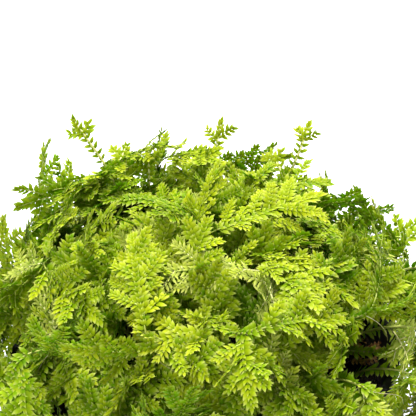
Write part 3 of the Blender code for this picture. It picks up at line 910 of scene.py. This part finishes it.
def blade_spots(blade):
    """Points of a blade: at four steps of its rib, the rib and its branchlets' middles and ends."""
    spots = []
    reach = LEAF_REACH * blade.size * 0.8
    for share in (0.35, 0.6, 0.85, 1.1):
        point, along, _, side = station(blade, share * blade.length)
        right, left = along + side * 1.3, along - side * 1.3
        spots.append(point)
        for part in (0.35 * reach, 0.6 * reach):
            spots += [point + right * part, point + left * part]
    return spots


def count_in(blade):
    """Add a blade to the counts of the patches that it lies over."""
    for spot in blade_spots(blade):
        patch = mound_patch(spot)[0]
        counts[patch] = counts.get(patch, 0) + 1


def clears_pot(point):
    """Whether a point of a leaf keeps clear of the soil and of the pot's lip and wall."""
    radius = math.hypot(point.x, point.y)
    if point.z > POT_HEIGHT + OVER_LIP:
        return True
    if radius < POT_TOP_RADIUS - INSIDE_LIP:
        return point.z > SOIL_TOP + OVER_SOIL
    return radius > POT_TOP_RADIUS + OUTSIDE_LIP


def in_gap(point):
    """Whether a point stands in a gap at the right, through which the room shows from the front."""
    seen = point - camera.location
    scale = VIEW_DISTANCE / seen.dot(look)
    right = seen.dot(picture_right) * scale + aim_right
    rise = seen.dot(picture_up) * scale + aim_rise
    width, height = GAP_SIZE
    return any(math.hypot((right - x * MM) / width, (rise - y * MM) / height) < 1 for x, y in GAPS)


def storey_blade(rng, spray):
    """A blade of the second storey that could grow from this spray's stem, or None."""
    t = rng.uniform(0.42, 0.97)
    start, ahead = curve_points(*spray.bow, (t, t + 0.03))
    flow = (ahead - start).normalized()
    outward = Vector((start.x, start.y, (start.z - POT_HEIGHT) * 1.3 + 6 * MM)).normalized()
    wander = Vector([rng.gauss(0, 1) for _ in range(3)]).normalized()
    along = (flow * 0.4 + outward * 0.6 + wander).normalized()
    up = outward + UP * 0.35
    up = (up - along * up.dot(along)).normalized()
    size = rng.uniform(0.62, 0.85)
    pairs = rng.choice((3, 4))
    blade = Blade(start, along, up, (pairs + 1) * LEAF_STEP * size, rng.uniform(0.2, 0.8), pairs, size)
    spots = blade_spots(blade)
    if not all(clears_pot(spot) and not in_cleft(spot) and not in_gap(spot) for spot in spots):
        return None
    level = mound_patch(spots[-1])[1]
    return blade if STOREY_LEVELS[0] < level < STOREY_LEVELS[1] else None


for spray in sprays:
    for blade in spray.blades:
        count_in(blade)
bearers = [entry for entry in grown if not entry[0].name.startswith("cleft")]
for turn in range(SECOND_STOREY):
    spray, rng, growth = bearers[turn % len(bearers)]
    best, gain = None, 0
    for _ in range(CANDIDATES):
        blade = storey_blade(rng, spray)
        if blade:
            patches = {mound_patch(spot)[0] for spot in blade_spots(blade)}
            worth = sum(1 / (1 + counts.get(patch, 0)) ** 2 for patch in patches)
            if worth > gain:
                best, gain = blade, worth
    if best:
        count_in(best)
        grow_blade(growth, rng, best, rng.uniform(0.4, 0.9), lit_mood(spray_mood(rng), best.start))


def reach_to(entry, place):
    """How near a spray's stem comes to a place."""
    return min((point - place).length for point in curve_points(*entry[0].bow, (0.5, 0.7, 0.9)))


for corner in BARE:
    place = Vector(corner) * MM
    for spray, rng, growth in sorted(bearers, key=lambda entry: reach_to(entry, place))[:2]:
        blades = filter(None, [storey_blade(rng, spray) for _ in range(BARE_TRIES)])
        best = min(blades, key=lambda blade: (blade_spots(blade)[2 * SPOTS_A_STEP] - place).length)
        grow_blade(growth, rng, best, rng.uniform(0.4, 0.9), lit_mood(spray_mood(rng), best.start))

for spray, _, growth in grown:
    leaved(growth.build(spray.name + "_grown"), spray.name)


# The creepers: short leafy stems that root as they lie over the peat, under the fronds. They are the
# oldest and most shaded growth, so they are the darkest. None lies in the cleft.
CREEPERS = 34
CREEPER_CLEAR = 9 * MM
CREEPER_INSET = 3 * MM
creeper_rng = random.Random(77)
creeping = Growth()
for k in range(CREEPERS):
    spread = (soil_radius - CREEPER_INSET) * math.sqrt((k + 0.5) / CREEPERS)
    start = Vector((spread * math.cos(k * GOLDEN_ANGLE), spread * math.sin(k * GOLDEN_ANGLE), SOIL_TOP))
    for _ in range(CANDIDATES):
        heading = creeper_rng.uniform(0, math.tau)
        along = Vector((math.cos(heading), math.sin(heading), creeper_rng.uniform(0.3, 0.7))).normalized()
        up = (UP - along * along.z).normalized()
        size = creeper_rng.uniform(0.55, 0.75)
        blade = Blade(start, along, up, 4 * LEAF_STEP * size, creeper_rng.uniform(0.3, 0.8), 3, size)
        spots = blade_spots(blade)
        open_soil = min((spot - CLEFT_FLOOR).length for spot in spots) > CREEPER_CLEAR
        over_soil = all(map(clears_pot, spots[SPOTS_A_STEP:]))
        if open_soil and over_soil and not any(map(in_cleft, spots)):
            grow_blade(creeping, creeper_rng, blade, 1, creeper_rng.uniform(0, 0.5))
            break
leaved(creeping.build("creepers"))


# The aerial roots: short pale threads, a sixth of a millimetre thick, that grow down from the stems in
# the damp air under the fronds. Each is one bare root that has not forked or reached the soil yet.
ROOT_RADIUS = 0.075 * MM
ROOTS_PER_SPRAY = 2
ROOT_ROWS = 9
root_rng = random.Random(41)
threads = Growth()
for spray in sprays:
    for _ in range(ROOTS_PER_SPRAY):
        start = curve_points(*spray.bow, [root_rng.uniform(0.55, 0.95)])[0]
        depth = root_rng.uniform(4, 11) * MM
        drift = Vector((root_rng.gauss(0, 1), root_rng.gauss(0, 1), 0)) * (0.45 * depth)
        end = start + drift - UP * depth
        lift = start + Vector((start.x, start.y, 0)).normalized() * (0.4 * depth)
        line = curve_points(start, lift, end + UP * (0.4 * depth), end, np.linspace(0, 1, ROOT_ROWS))
        if all(map(clears_pot, line[:-1])):
            radii = np.linspace(ROOT_RADIUS, 0.6 * ROOT_RADIUS, len(line))
            threads.tube(np.array([tuple(point) for point in line]), radii, 0.4, 4)
straw = Finish("pale_root", 0.6, Specular_IOR_Level=0.3)
fade = straw.ranged(straw.grain(300, 3), 0.35, 0.65)
straw.set("Base Color", straw.blend(fade, (0.62, 0.60, 0.30, 1), (0.50, 0.38, 0.20, 1)))
finished(threads.build("aerial_roots"), straw.material, slot="spikemoss_leaf")


# The withered fronds: a few small branchlets in the cleft that died back in the shade. They are dry and
# brown, and curl up on the peat where they dropped: here, at a place in mm and a heading in degrees.
DRY_LEAF = 2.2 * MM
DRY_LIFT = 0.6 * MM
WITHERED = ((36, 6, 20), (38, 10, 75), (35, 9, 130), (40, 3, -30), (37, 3, 160), (39, 7, 110), (41, 6, 10))
dead_rng = random.Random(9)
dead = Growth()
for x, y, heading in WITHERED:
    turn = math.radians(heading)
    along = unit(np.array([math.cos(turn), math.sin(turn), dead_rng.uniform(0, 0.3)]))
    up = unit(np.array([0, 0, 1]) - along * along[2])
    length = dead_rng.uniform(7, 11) * MM
    start = np.array([x * MM, y * MM, soil_height(x * MM, y * MM) + DRY_LIFT])
    rib = rib_line(start, along, up, length, dead_rng.uniform(-0.4, 0.6), dead_rng.gauss(0, 0.4))
    leafy(dead, dead_rng, rib, length, DRY_LEAF, 1, 0.5, 0.05, 0)
brown = Finish("withered_leaf", 0.85, Specular_IOR_Level=0.2)
faded = brown.ranged(brown.grain(700, 3), 0.35, 0.65)
brown.set("Base Color", brown.blend(faded, (0.28, 0.13, 0.04, 1), (0.62, 0.38, 0.13, 1)))
finished(dead.build("withered_fronds"), brown.material, slot="spikemoss_leaf")
